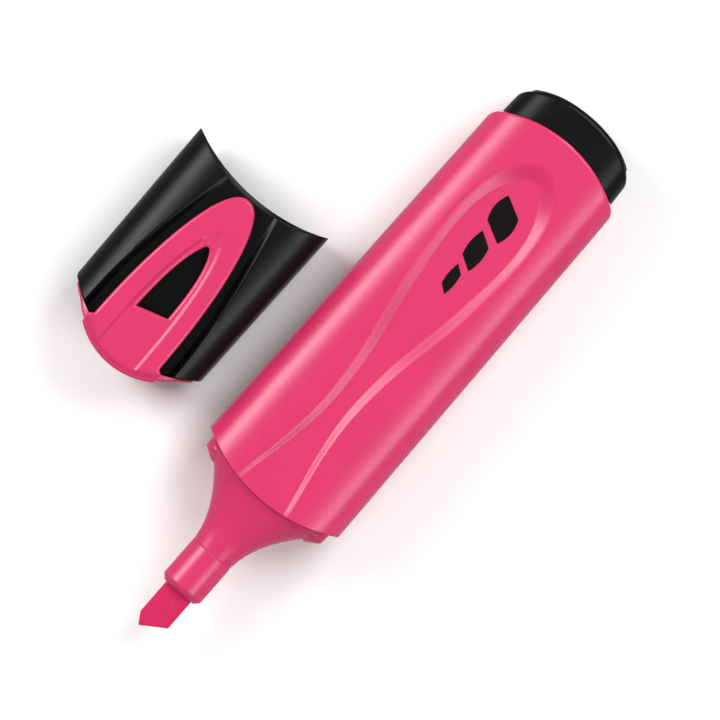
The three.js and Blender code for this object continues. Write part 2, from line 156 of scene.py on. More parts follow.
class Outline:
    """Half width by x of an outline symmetric about the X axis, and its radius by angle past a centre."""

    def __init__(self, side, tip=None, centre=None):
        points = [tuple(p) for p in side]
        if tip is not None:
            points += [(tip, 0.0)] + [(x, -h) for x, h in reversed(side)]
        line = curve(points)
        if tip is not None:
            line = line[line[:, 1] >= -1e-9]
        self.sign = -1 if line[0, 0] > line[-1, 0] else 1
        order = np.argsort(line[:, 0])
        self.x, self.h = line[order, 0], line[order, 1]
        if centre is not None:
            far = line[(line[:, 0] - centre) * self.sign >= 0]
            angle = np.arctan2(far[:, 1], (far[:, 0] - centre) * self.sign)
            order = np.argsort(angle)
            self.angle = angle[order]
            self.distance = np.hypot(far[:, 0] - centre, far[:, 1])[order]

    def half(self, x):
        return np.interp(x, self.x, self.h)

    def radius(self, angle):
        return np.interp(angle, self.angle, self.distance)


class Panel:
    """A sunk panel between a rim and a floor, each a side's points and a tip.

    Past the centre its reach is measured outward from there.
    """

    def __init__(self, rim, rim_tip, floor, floor_tip, centre=None):
        self.rim, self.floor = Outline(rim, rim_tip, centre), Outline(floor, floor_tip, centre)
        self.centre, self.sign = centre, self.rim.sign

    def reach(self, x, y):
        """0 on the floor, 1 at the rim and outside it."""
        a, f, r = np.abs(y), self.floor.half(x), self.rim.half(x)
        if self.centre is not None:
            past = (x - self.centre) * self.sign > 0
            dx = np.where(past, (x - self.centre) * self.sign, 1)
            angle = np.arctan2(np.abs(y), dx)
            a = np.where(past, np.hypot(dx, y), a)
            f = np.where(past, self.floor.radius(angle), f)
            r = np.where(past, self.rim.radius(angle), r)
        return np.clip((a - f) / (r - f), 0, 1)

    def lines(self, x, least=1.0):
        """Where the mesh's lines run: along the floor's edge and the rim, except round the tip."""
        f = np.maximum(self.floor.half(x), least)
        return f, np.maximum(self.rim.half(x), f + least)


# ---------------------------------------------------------------- crowned tube with sunk panels
def crown(half_width, y):
    return HALF * (1 - np.minimum(1, np.abs(y) / half_width) ** CROWN) ** (1 / CROWN)


SIDE_SHARE = 0.86           # share of the half width where the face's columns end and the side's begin
FACE_FROM = 4.0             # a panel sinks only what is higher than this
FIRST_LENGTH, PASSES = 60.0, 8      # a first guess of a tube's length, and how often its ends are found again


def full_columns(*counts):
    """Columns round the tube from the top's middle: (kind, share, sign of y, sign of z)."""
    kinds = ("floor", "wall", "face", "side")
    q = [(kind, s) for kind, n in zip(kinds, counts) for s in np.linspace(0, 1, n, endpoint=False)]
    out = [(k, s, 1, 1) for k, s in q]
    out += [("side", 1.0, 1, 1)]
    out += [(k, s, 1, -1) for k, s in reversed(q)]
    out += [(k, s, -1, -1) for k, s in q[1:]]
    out += [("side", 1.0, -1, 1)]
    out += [(k, s, -1, 1) for k, s in reversed(q[1:])]
    return out


def place_columns(cols, x, width_at, top, under):
    """y and crown z of every column at each x."""
    y, z = np.zeros_like(x), np.zeros_like(x)
    z_side = HALF * (1 - SIDE_SHARE**CROWN) ** (1 / CROWN)
    for j, (kind, s, sy, sz) in enumerate(cols):
        w = width_at(x[:, j])
        f, r = (top if sz > 0 else under).lines(x[:, j])
        if kind == "side":
            zz = z_side * (1 - s)
            yy = w * (1 - (zz / HALF) ** CROWN) ** (1 / CROWN)
        else:
            yy = {"floor": s * f, "wall": f + s * (r - f), "face": r + s * (SIDE_SHARE * w - r)}[kind]
            zz = crown(w, yy)
        y[:, j], z[:, j] = sy * yy, sz * zz
    return y, z


def tube(cols, shares, x_start, x_end, width_at, top, under):
    """Grid of the outer skin between two end surfaces: x, y and crown z."""
    x = np.repeat((shares * FIRST_LENGTH)[:, None], len(cols), 1)
    for _ in range(PASSES):
        y, z = place_columns(cols, x, width_at, top, under)
        start, end = x_start(y, z), x_end(y, z)
        x = start + shares[:, None] * (end - start)
    return x, y, z


def sink(x, y, z, panel, floor_height, ease=0.1):
    """Lowers the crowned face onto a panel's floor and walls."""
    u = panel.reach(x, y)
    g = u - ease * np.sin(2 * math.pi * u) / (2 * math.pi)
    low = floor_height(x) * (1 - g) + np.abs(z) * g
    return np.where(np.abs(z) > FACE_FROM, np.minimum(np.abs(z), low), np.abs(z)) * np.sign(z)


def outward(y, z, half_width, half_thickness=HALF):
    """The section's outward direction at a point of the crowned skin."""
    n = np.stack([np.sign(y) * y * y / half_width**3, np.sign(z) * z * z / half_thickness**3], -1)
    return n / np.linalg.norm(n, axis=-1, keepdims=True)


def rounded_end(x, y, z, n, radius, toward, steps=5):
    """Rings that round the outer edge over to the end face. toward is +1 at the rear, -1 at the front."""
    rings = []
    for k in range(1, steps + 1):
        a = k / steps * math.pi / 2
        rings.append(np.stack([
            x - toward * radius * (1 - math.sin(a)),
            y - n[:, 0] * radius * (1 - math.cos(a)),
            z - n[:, 1] * radius * (1 - math.cos(a)),
        ], -1))
    return rings


# ---------------------------------------------------------------- barrel
FRONT_HALF_WIDTH, REAR_HALF_WIDTH = 13.65, 12.85
REAR_CORNER_X, BARREL_END = 68.4, 72.4
REAR_RADIUS, REAR_CORNER = 23.6, 1.2
BARREL_EDGE_FRONT, BARREL_EDGE_REAR = 0.22, 0.4
BARREL_BORE = {"front": 12.0, "rear": 11.2, "half_thickness": 6.2, "from": 8, "to": 60}
LIP = 0.62                  # how far the joint's lower lip stands past its upper edge
LIP_TOP, LIP_DEPTH = 7.4, 6.5
CORNER_MARGIN = 0.06        # how far past the side a corner's curve ends


def barrel_width(x):
    return FRONT_HALF_WIDTH - (FRONT_HALF_WIDTH - REAR_HALF_WIDTH) * x / REAR_CORNER_X


def joint_x(y, shift=0.0):
    return JOINT_RADIUS - JOINT_BULGE + shift - np.sqrt(np.maximum(JOINT_RADIUS**2 - y * y, 0))


def lip(y, z):
    """How much farther the joint's end stands towards the rear at a point lower down."""
    return LIP * (1 - (y / FRONT_HALF_WIDTH) ** 2) * ramp((LIP_TOP - z) / LIP_DEPTH)


def with_corner(y, start, control, end, inner):
    """x by y along an end's inner curve, then round a corner: a quadratic through (x, y) points."""
    corner = quadratic(start, control, end, 60)
    a = np.abs(y)
    return np.where(a > start[1], np.interp(a, corner[:, 1], corner[:, 0]), inner(a))


def rear_x(y):
    """Rear edge in plan: an arc with rounded corners."""
    def arc(a):
        return BARREL_END - REAR_RADIUS + np.sqrt(np.maximum(REAR_RADIUS**2 - a * a, 0))

    inner_y, corner_x = REAR_HALF_WIDTH - REAR_CORNER / 1.5, REAR_CORNER_X - REAR_CORNER
    outer_y = barrel_width(corner_x) + CORNER_MARGIN
    return with_corner(y, (arc(inner_y), inner_y), (REAR_CORNER_X, outer_y), (corner_x, outer_y), arc)


BODY_PANEL = Panel(
    [[-8, 6.8], [0, 5], [8, 3.45], [16, 2.85], [26, 3.65], [38, 5.9], [50, 7.35], [59, 6.6], [64.5, 4]], 66.9,
    [[-8, 5.3], [0, 4], [8, 2.4], [16, 1.45], [26, 1.95], [38, 4], [50, 5.25], [57, 4.75], [62, 2.6]], 63.9,
    centre=52.0)
PANEL_HEIGHT, PANEL_SLOPE = 7.9, 0.0118
PANEL_DIP, DIP_FROM, DIP_LENGTH = 0.18, 18, 26


def panel_floor(x):
    return PANEL_HEIGHT - PANEL_SLOPE * x - PANEL_DIP * ramp((x - DIP_FROM) / DIP_LENGTH)


def stations(*spans):
    """Shares of a length: (from, to, step) spans."""
    out = []
    for a, b, step in spans:
        out += list(np.arange(a, b - 1e-9, step))
    return np.array(out + [spans[-1][1]])


def barrel():
    cols = full_columns(9, 9, 20, 18)
    shares = stations((0, 0.02, 0.004), (0.02, 0.72, 0.0085), (0.72, 0.93, 0.004), (0.93, 0.985, 0.008),
                      (0.985, 1, 0.004))
    x, y, z = tube(cols, shares, lambda y, z: joint_x(y) + lip(y, z) + BARREL_EDGE_FRONT,
                   lambda y, z: rear_x(y) - BARREL_EDGE_REAR, barrel_width, BODY_PANEL, BODY_PANEL)
    w = barrel_width(x)
    n = outward(y, z, w)
    sunk = sink(x, y, z, BODY_PANEL, panel_floor)
    front = rounded_end(x[0] - BARREL_EDGE_FRONT, y[0], sunk[0], n[0], BARREL_EDGE_FRONT, -1)
    rear = rounded_end(x[-1] + BARREL_EDGE_REAR, y[-1], sunk[-1], n[-1], BARREL_EDGE_REAR, 1)

    def bore(ring, half_width):
        return y[ring] * half_width / w[ring], z[ring] * BARREL_BORE["half_thickness"] / HALF

    fy, fz = bore(0, BARREL_BORE["front"])
    ry, rz = bore(-1, BARREL_BORE["rear"])
    inside_rings = [ring_at(rear_x(ry), ry, rz), ring_at(BARREL_BORE["to"], ry, rz),
                    ring_at(BARREL_BORE["from"], fy, fz), ring_at(joint_x(fy) + lip(fy, fz), fy, fz)]
    loop = list(np.stack([x, y, sunk], -1)) + rear + inside_rings + front[::-1]
    return make("barrel_skin", *ring_of_rings(loop), PEN, 50)


# ---------------------------------------------------------------- ovals
def oval(x, width, thick, power=CROWN, count=96):
    """A ring with a superellipse section. x is a number or a function of y and z."""
    a = np.linspace(0, 2 * math.pi, count, endpoint=False)
    e = 2 / power
    y = width * np.sign(np.cos(a)) * np.abs(np.cos(a)) ** e
    z = thick * np.sign(np.sin(a)) * np.abs(np.sin(a)) ** e
    return ring_at(x(y, z) if callable(x) else x, y, z)


def even_oval(x, width, thick, power=CROWN, count=96):
    """The same with its points spaced evenly round it."""
    _, y, z = spaced(oval(0, width, thick, power, 1440), count).T
    return ring_at(x(y, z) if callable(x) else x, y, z)


def edge_strip(count):
    """Closes an oval's first ring by strips from its upper half straight down to its lower half."""
    half = count // 2
    strips = [[k, count - k, count - k - 1, k + 1] for k in range(1, half - 1)]
    return [[0, count - 1, 1], *strips, [half - 1, half + 1, half]]


# ---------------------------------------------------------------- nose
NOSE_COUNT = 160
NECK_END, NECK_RADIUS = -15.3, 3.85
NOSE_GAP = -0.07            # from the barrel's front edge to the flare's end
# x, half width, half thickness and power of the slot that the nib stands in, and x and radius along the neck.
NIB_SLOT = ((-20.5, 2.85, 2.1, 4), (-23.22, 2.75, 1.95, 4), (-23.3, 2.95, 2.2, 3))
NECK = ((-23.3, 3.02), (-23.24, 3.13), (-22.6, 3.72), (-22.5, 3.79), (-22.35, 3.84), (-22.2, 3.85),
        (-19, 3.85), (-15.6, 3.85), (-15.32, 3.85), (-15.26, 3.83), (-15.2, 3.76))
# x, half width and half thickness of the shoulder between the flare and the barrel.
SHOULDER = ((-3.3, 9.0, 2.6), (-3.85, 9.6, 3.0), (-3.88, 9.95, 3.2), (-3.78, 10.2, 3.4), (-2.65, 12.0, 4.68),
            (-2.45, 12.17, 4.82), (-2.1, 12.25, 4.9), (0.5, 12.38, 4.98), (1.2, 11.6, 4.4))
SHOULDER_POWER = 3.4


def flare_station(x):
    """Half width, half thickness and power of the flare, from the round neck to the barrel's section."""
    along = max(0, x - NECK_END) ** 1.85
    side = min(NECK_RADIUS + 0.0614 * along, 12.1)
    face = min(NECK_RADIUS + 0.0325 * along, 6.9)
    return side, face, 2 + (min(x, 0) - NECK_END) / -NECK_END


def neck_and_flare():
    rings = [even_oval(*station, NOSE_COUNT) for station in NIB_SLOT]
    rings += [even_oval(x, r, r, 2, NOSE_COUNT) for x, r in NECK]
    for x in np.r_[-15.14, -15.0, np.arange(-14.6, -1.0, 0.4)]:
        side, face, power = flare_station(x)
        groove = 0.06 * max(0, -14 - x)
        rings.append(even_oval(lambda y, z: np.minimum(x, joint_x(y, NOSE_GAP)), side - groove, face - groove,
                               power, NOSE_COUNT))
    side, face, power = flare_station(-1.0)
    rings.append(even_oval(lambda y, z: joint_x(y, NOSE_GAP), side, face, power, NOSE_COUNT))
    rings.append(even_oval(lambda y, z: joint_x(y, 0.6), side - 1.2, face - 1.2, power, NOSE_COUNT))
    rings.append(even_oval(3, 7, 3, power, NOSE_COUNT))
    return make("nose_skin", *capped(rings), PEN, 30)


def unite(body, other):
    """One solid from two, kept in the first."""
    union = body.modifiers.new("join", "BOOLEAN")
    union.operation, union.solver, union.object = "UNION", "EXACT", other
    evaluated = body.evaluated_get(bpy.context.evaluated_depsgraph_get())
    mesh = bpy.data.meshes.new_from_object(evaluated)
    body.modifiers.clear()
    body.data = mesh
    bpy.data.objects.remove(other)


def nose():
    body = neck_and_flare()
    shoulder = [even_oval(*station, SHOULDER_POWER, NOSE_COUNT) for station in SHOULDER]
    unite(body, make("nose_shoulder", *capped(shoulder), PEN, 30))
    body.data.shade_smooth()
    body.data.set_sharp_from_angle(angle=math.radians(32))
    return body


# ---------------------------------------------------------------- nib
NIB_HALF_WIDTH, NIB_HALF_THICKNESS, NIB_EDGE_THICKNESS = 2.62, 1.8, 1.05
NIB_ROUNDING = 0.34         # how far back the writing edge's rounding ends
NIB_WEDGE_END = -22.0
NIB_TAIL = ((-19, 2.62, 1.8), (-17, 2.2, 1.4), (0, 2.2, 1.4), (3, 2.2, 1.4), (5.5, 1, 0.7))


def writing_edge(y):
    return np.interp(y, [-2.72, 1.5, 2.72], [-29.0, -31.6, -29.7])


def nib():
    """A felt bar with a slanted writing edge. Rings run along the bar, each cut to the slant in plan."""
    def bar(x, width, thick):
        return oval(x, width, thick, 7, 120)

    rings = []
    for inset, back in ((0.55, 0.0), (0.3, 0.0), (0.12, 0.05), (0.03, 0.16), (0, NIB_ROUNDING)):
        width = NIB_HALF_WIDTH - inset * 0.6
        rings.append(bar(lambda y, z: writing_edge(y * NIB_HALF_WIDTH / width) + back, width,
                         NIB_EDGE_THICKNESS - inset))
    for f in np.linspace(0.08, 1, 14):
        thick = NIB_EDGE_THICKNESS + (NIB_HALF_THICKNESS - NIB_EDGE_THICKNESS) * f
        rings.append(bar(lambda y, z: (writing_edge(y) + NIB_ROUNDING) * (1 - f) + NIB_WEDGE_END * f,
                         NIB_HALF_WIDTH, thick))
    rings += [bar(*station) for station in NIB_TAIL]
    return make("nib_felt", *capped(rings, edge_strip(len(rings[0]))), PEN, 35)


# ---------------------------------------------------------------- end plug
PLUG_HALF_THICKNESS, PLUG_EDGE, PLUG_GAP, PLUG_FRONT = 7.2, 0.85, 0.03, 60


def plug_width(x):
    return np.interp(x, [66, 73.4, 79], [11.75, 11.35, 11.05])


def plug_end_curve(y):
    return 78 - 0.0186 * y**2 - 0.00008 * y**4


def plug_end_x(y):
    """Rear end in plan: nearly flat in the middle, with rounded corners."""
    start = plug_end_curve(10.06), 10.06
    return with_corner(y, start, (plug_end_curve(11.35), 11.41), (73.4, 11.41), plug_end_curve)


def plug():
    _, unit_y, unit_z = even_oval(0, 1, 1, CROWN, 200).T
    rings = []
    for share in np.r_[np.linspace(0, 0.9, 7), np.linspace(0.93, 1, 3)]:
        x = np.full(len(unit_y), 70.0)
        for _ in range(PASSES):
            y = unit_y * plug_width(x)
            x0, x1 = rear_x(y * 0.99) + PLUG_GAP, plug_end_x(y) - PLUG_EDGE
            x = x0 + share * (x1 - x0)
        rings.append(ring_at(x, y, unit_z * PLUG_HALF_THICKNESS))
    x, y, z = rings[-1].T
    n = outward(y, z, plug_width(x + PLUG_EDGE), PLUG_HALF_THICKNESS)
    end = rounded_end(x + PLUG_EDGE, y, z, n, PLUG_EDGE, 1, 8)
    end += inner_rings(end[-1], (0.93, 0.82, 0.66, 0.48, 0.3, 0.14, 0.04), plug_end_x)
    front = inner_rings(rings[0], (0.9,), lambda y: PLUG_FRONT)
    front += inner_rings(rings[0], (0.93,), lambda y: rear_x(y) + PLUG_GAP)
    return make("plug_skin", *capped(front + rings + end), PEN, 40)


# ---------------------------------------------------------------- cap sleeve
CAP_LENGTH = 38.4
SLEEVE_TAPER = 0.013
CHANNEL = Panel([[-3, 9.7], [11, 9.5], [19, 8.65], [27, 7.3], [35, 5.75], [42, 4.9]], None,
                [[-3, 8.6], [11, 8.4], [19, 7.6], [27, 6.3], [35, 4.9], [42, 4]], None)
UNDER = Panel([[42, 4.9], [35, 5.75], [27, 6.5], [19, 6.7], [12.5, 5.2]], 9,
              [[42, 4], [35, 4.9], [27, 5.6], [19, 5.7], [14.5, 4]], 11.5, centre=20.0)
CHANNEL_HEIGHT, CHANNEL_SLOPE = 7.94, 0.072
CLOSED_RADIUS, CLOSED_CENTRE = 20.6, 23.3      # the arc where the sleeve meets the insert
CLOSED_CORNER_X, CLOSED_CORNER_Y = 8.3, 12.57
SLEEVE_EDGE_CLOSED, SLEEVE_EDGE_MOUTH = 0.25, 0.16
BORE_WIDEST_X, BORE_HALF_WIDTH, BORE_HALF_THICKNESS = 37, 12.6, 7.25
BORE_SIDE_TAPER, BORE_FACE_TAPER = 0.02, 0.079


def sleeve_width(x):
    return FRONT_HALF_WIDTH - (CAP_LENGTH - x) * SLEEVE_TAPER


def mouth_x(y):
    return joint_x(y, CAP_LENGTH)


def sleeve_end_x(y):
    """The sleeve's edge against the insert in plan: an arc with rounded corners."""
    def arc(a):
        return CLOSED_CENTRE - np.sqrt(np.maximum(CLOSED_RADIUS**2 - a * a, 0))

    start_x, outer_y = arc(CLOSED_CORNER_Y), sleeve_width(CLOSED_CORNER_X) + CORNER_MARGIN
    control = (start_x * 8 + CLOSED_CORNER_X) / 9, outer_y
    return with_corner(y, (start_x, CLOSED_CORNER_Y), control, (CLOSED_CORNER_X, outer_y), arc)


def channel_floor(x):
    return CHANNEL_HEIGHT - CHANNEL_SLOPE * (CAP_LENGTH - JOINT_BULGE - x)


def under_floor(x):
    return PANEL_HEIGHT - PANEL_SLOPE * (CAP_LENGTH - x)


def sleeve():
    cols = full_columns(12, 10, 14, 18)
    shares = stations((0, 0.03, 0.006), (0.03, 0.97, 0.012), (0.97, 1, 0.006))
    x, y, z = tube(cols, shares, lambda y, z: sleeve_end_x(y) + SLEEVE_EDGE_CLOSED,
                   lambda y, z: mouth_x(y) + lip(y, z) - SLEEVE_EDGE_MOUTH, sleeve_width, CHANNEL, UNDER)
    w = sleeve_width(x)
    n = outward(y, z, w)
    sunk = np.where(z > 0, sink(x, y, z, CHANNEL, channel_floor), sink(x, y, z, UNDER, under_floor))
    end = rounded_end(x[0] - SLEEVE_EDGE_CLOSED, y[0], sunk[0], n[0], SLEEVE_EDGE_CLOSED, -1, 3)
    mouth = rounded_end(x[-1] + SLEEVE_EDGE_MOUTH, y[-1], sunk[-1], n[-1], SLEEVE_EDGE_MOUTH, 1, 3)

    def bore(ring, depth, x_at):
        """A ring of the tapered bore, in line with the skin's first or last ring."""
        yy = y[ring] * (BORE_HALF_WIDTH - BORE_SIDE_TAPER * (BORE_WIDEST_X - depth)) / w[ring]
        zz = z[ring] * (BORE_HALF_THICKNESS - BORE_FACE_TAPER * (BORE_WIDEST_X - depth)) / HALF
        lower = lip(yy, zz) if ring == -1 else 0
        return ring_at(x_at(yy) + lower, yy, zz)

    loop = list(np.stack([x, y, sunk], -1)) + mouth + [bore(-1, 37.6, mouth_x)]
    for depth in (34, 26, 18, 11):
        loop.append(bore(-1, depth, lambda y: np.minimum(mouth_x(y) - 0.3, depth)))
    loop.append(bore(0, 5, lambda y: np.maximum(sleeve_end_x(y), 4.5)))
    loop.append(bore(0, 3, lambda y: sleeve_end_x(y) + 0.02))
    loop += end[::-1]
    return make("sleeve_skin", *ring_of_rings(loop), CAP, 45)


# ---------------------------------------------------------------- cap insert: the pink closed end
INSERT_HALF_WIDTH, INSERT_HALF_THICKNESS, INSERT_EDGE, INSERT_GAP = 12.3, 7.6, 0.5, 0.02
BULGE_APEX, BULGE_RADIUS = 0.7, 14.4


def bulge_x(y):
    return BULGE_APEX + BULGE_RADIUS - np.sqrt(np.maximum(BULGE_RADIUS**2 - y * y, 0))


def insert_end():
    _, unit_y, unit_z = even_oval(0, 1, 1, CROWN, 200).T
    y, z = unit_y * INSERT_HALF_WIDTH, unit_z * INSERT_HALF_THICKNESS
    x0 = np.minimum(bulge_x(y) + INSERT_EDGE, sleeve_end_x(y) - 0.1)
    x1 = sleeve_end_x(y) - INSERT_GAP
    rings = [ring_at(x0 + u * (x1 - x0), y, z) for u in np.linspace(0, 1, 8)]
    n = outward(y, z, INSERT_HALF_WIDTH, INSERT_HALF_THICKNESS)
    front = rounded_end(x0 - INSERT_EDGE, y, z, n, INSERT_EDGE, -1, 7)
    front += inner_rings(front[-1], (0.95, 0.85, 0.7, 0.5, 0.3, 0.1), bulge_x)
    back = [ring_at(x1, y * 0.97, z * 0.6)]
    back += inner_rings(ring_at(0, y, z * 0.5 / 0.93), (0.93, 0.8, 0.64, 0.48, 0.32, 0.16, 0.04),
                        lambda y: sleeve_end_x(y) + 1.2)
    return make("insert_end", *capped(front[::-1] + rings + back), CAP, 45)


# ---------------------------------------------------------------- clip: one moulding with the closed end
CLIP_TOP, CLIP_RISE, CLIP_THICKNESS = 9.5, 0.0133, 1.6
CLIP_FROM, CLIP_TIP, CLIP_ROOT = 4.8, 34.6, 4.65
CLIP_HALF_WIDTH, ROOT_HALF_WIDTH, ROOT_RADIUS = 6.95, 7.6, 13
ROOT_STEP = ((3.0, -7.6), (3.6, -7.6), (4.2, -7.58), (4.4, -7.45), (4.5, -7.2), (4.65, -7.02))
CLIP_HIGH = Panel([[-3, 3.85], [6, 3.8], [12, 3.65], [18, 3.15], [23, 2.3], [26, 1.3]], 27.7,
                  [[-3, 3.65], [6, 3.6], [12, 3.45], [18, 2.95], [23, 2.1], [25.8, 1.1]], 27.4, centre=22.0)
CLIP_LOW = Panel([[-3, 4.4], [6, 4.3], [12, 4.1], [18, 3.55], [23, 2.65], [26, 1.6]], 28.0,
                 [[-3, 3.85], [6, 3.75], [12, 3.55], [18, 3.0], [23, 2.1], [25.6, 1.2]], 27.2, centre=22.0)
CLIP_SINK = 0.3
# How far in from an edge of the clip, and how far below its top, the rounding's rings lie.
EDGE_PROFILE = ((0.0, 0.42), (0.015, 0.3), (0.07, 0.23), (0.22, 0.11), (0.38, 0.02), (0.45, 0.0), (0.52, 0.0))
EDGE_WIDTH = EDGE_PROFILE[-1][0]
EDGE_SPACING, GRID_SPACING = 0.22, 0.42
LOWER_EDGE, HOLLOW, LEAST_THICKNESS = 0.15, 0.35, 0.9
ROOTED_BEFORE, ROOTED_OVER, ROOTED_TO = 0.25, 0.35, 3.0


def clip_half(x):
    u = np.clip((x - CLIP_FROM) / (CLIP_TIP - CLIP_FROM), 0, 1)
    return CLIP_HALF_WIDTH * (1 - u * u) ** 0.45


def clip_outline():
    """Counterclockwise from the middle of the root's arc: the arc, a step, one side, the tip and back."""
    a = math.asin(ROOT_HALF_WIDTH / ROOT_RADIUS)
    t = np.linspace(-a, a, 61)[30::-1]
    arc = np.stack([ROOT_RADIUS - ROOT_RADIUS * np.cos(t), ROOT_RADIUS * np.sin(t)], -1)
    x = CLIP_FROM + (CLIP_TIP - CLIP_FROM) * np.sin(np.linspace(0, math.pi / 2, 150, endpoint=False))
    lower = np.vstack([arc, ROOT_STEP, np.stack([x, -clip_half(x)], -1)])
    upper = lower[::-1] * [1, -1]
    ring = np.vstack([lower, [[CLIP_TIP, 0]], upper[:-1]])
    keep = np.r_[True, np.linalg.norm(np.diff(ring, axis=0), axis=1) > 1e-4]
    return ring[keep]


def window_ring():
    """Counterclockwise round the window: a slanted edge and two curves that meet in a rounded tip."""
    upper, lower, tip, radius = (10.05, 2.6), (11.7, -2.62), 24.45, 0.42
    return np.vstack([
        np.linspace(upper, lower, 24, endpoint=False),
        quadratic(lower, (21.45, -2.52), (tip, -radius), 60, endpoint=False),
        quadratic((tip, -radius), (tip + radius, 0), (tip, radius), 8, endpoint=False),
        quadratic((tip, radius), (20.45, 2.45), upper, 60, endpoint=False),
    ])


def inward(ring):
    t = np.roll(ring, -1, 0) - np.roll(ring, 1, 0)
    t /= np.linalg.norm(t, axis=1, keepdims=True)
    return np.stack([-t[:, 1], t[:, 0]], -1)


def inside(ring, points):
    """Which points lie inside a closed ring."""
    x, y = points.T
    hit = np.zeros(len(points), bool)
    for (x1, y1), (x2, y2) in zip(ring, np.roll(ring, -1, 0)):
        if y1 != y2:
            hit ^= ((y1 > y) != (y2 > y)) & (x < (x2 - x1) * (y - y1) / (y2 - y1) + x1)
    return hit


def distance_to(ring, points):
    """Shortest distance from points to a closed ring."""
    best = np.full(len(points), np.inf)
    for a, b in zip(ring, np.roll(ring, -1, 0)):
        ab = b - a
        t = np.clip(((points - a) @ ab) / max(ab @ ab, 1e-12), 0, 1)
        best = np.minimum(best, np.linalg.norm(points - (a + t[:, None] * ab), axis=1))
    return best


def clear(points, outline, hole, gap):
    """Which points lie between an outline and a hole, farther than a gap from both."""
    between = inside(outline, points) & ~inside(hole, points)
    return between & (distance_to(outline, points) > gap) & (distance_to(hole, points) > gap)


def nearest(points, others):
    return np.min(np.linalg.norm(points[:, None] - others[None], axis=2), axis=1)


def triangulate(outline, hole, free, links=()):
    """The points and triangles between an outline and a hole, and the given points at each point."""
    n, m = len(outline), len(hole)
    edges = [(i, (i + 1) % n) for i in range(n)] + [(n + i, n + (i + 1) % m) for i in range(m)]
    edges += [(n + m + a, n + m + b) for a, b in links]
    given = [Vector(p) for p in np.vstack([outline, hole, free])]
    out = delaunay_2d_cdt(given, edges, [], 0, 1e-6)
    points, triangles = np.array([list(p) for p in out[0]]), np.array(out[2])
    middle = points[triangles].mean(1)
    return points, triangles[inside(outline, middle) & ~inside(hole, middle)], out[3]


def clip_surface(p):
    """Top of the clip at plan points, before the outer edge's rounding."""
    x, y = p[:, 0], p[:, 1]
    share = ramp((y + 0.8) / 1.6)
    u = share * CLIP_HIGH.reach(x, y) + (1 - share) * CLIP_LOW.reach(x, y)
    top = CLIP_TOP - 0.02 - CLIP_SINK * (1 - u + 0.2 * np.sin(2 * math.pi * u) / (2 * math.pi))
    d = np.where(x < 8, np.clip(ROOT_RADIUS - np.hypot(x - ROOT_RADIUS, y), 0, 1.5), 1.5)
    roll = np.maximum(0, 1.45 - d) * 0.9 + np.maximum(0, 0.4 - d) ** 2 * 3
    top = np.minimum(top, CLIP_TOP - 0.02 - roll)
    return top + np.maximum(0, x - CLIP_ROOT) * CLIP_RISE


def clip_underside(plan, top, thickness):
    """Height of the underside, which goes down into the closed end where the clip is rooted."""
    rooted = ramp((sleeve_end_x(plan[:, 1]) - ROOTED_BEFORE - plan[:, 0]) / ROOTED_OVER)
    return (top - thickness) * (1 - rooted) + ROOTED_TO * rooted


def wall_lines(outline, hole):
    """Lines of points along the walls of the clip's panel."""
    x = np.arange(-0.5, 25.6, 0.2)
    lines = []
    for panel, side, shares in ((CLIP_HIGH, 1, (0, 1)), (CLIP_LOW, -1, (0, 0.33, 0.67, 1))):
        for share in shares:
            y = panel.floor.half(x) * (1 - share) + panel.rim.half(x) * share
            line = np.stack([x, side * y], -1)[y > 0.9]
            lines.append(line[clear(line, outline, hole, 0.12)])
    return lines


def roll_rows(outline, hole):
    """Rows of points where the end rolls over."""
    a = np.linspace(-0.62, 0.62, 70)
    rows = []
    for d in (0.12, 0.3, 0.52, 0.8, 1.1, 1.4):
        r = ROOT_RADIUS - d
        rows.append(np.stack([ROOT_RADIUS - r * np.cos(a), r * np.sin(a)], -1))
    rows = np.vstack(rows)
    return rows[clear(rows, outline, hole, 0.1)]


def top_points(outline, hole):
    """Points of the clip's top, the pairs of them that an edge joins, and the plain grid among them."""
    lines = wall_lines(outline, hole)
    walls, rows = np.vstack(lines), roll_rows(outline, hole)
    rows = rows[nearest(rows, walls) > 0.12]
    grid = np.meshgrid(np.arange(-1, 36, GRID_SPACING), np.arange(-8, 8, GRID_SPACING))
    grid = np.stack(grid, -1).reshape(-1, 2)
    grid = grid[clear(grid, outline, hole, 0.2)]
    grid = grid[(nearest(grid, walls) > 0.2) & (nearest(grid, rows) > 0.14)]
    links, first = [], 0
    for line in lines:
        steps = np.linalg.norm(np.diff(line, axis=0), axis=1)
        links += [(first + i, first + i + 1) for i in np.flatnonzero(steps < 0.35).tolist()]
        first += len(line)
    return np.vstack([walls, rows, grid]), links, grid


def rounding(ring, direction, top):
    """Plan points and heights of the rings down an edge's rounding, below the top one."""
    return [(ring + direction * inset, top - drop) for inset, drop in EDGE_PROFILE[-2::-1]]


class Skin:
    """Points and faces of a mesh, put together ring by ring."""

    def __init__(self):
        self.points, self.faces, self.count = [], [], 0

    def add(self, plan, z):
        self.points.append(np.column_stack([plan, z]))
        first, self.count = self.count, self.count + len(plan)
        return list(range(first, self.count))

    def walls(self, ids, rings, flip):
        """Quads from a ring through more rings, each plan points and heights. Gives the last one's ids."""
        for plan, z in rings:
            lower = self.add(plan, z)
            quads = np.stack([ids, np.roll(ids, -1), np.roll(lower, -1), lower], -1)
            self.faces += (quads[:, ::-1] if flip else quads).tolist()
            ids = lower
        return ids


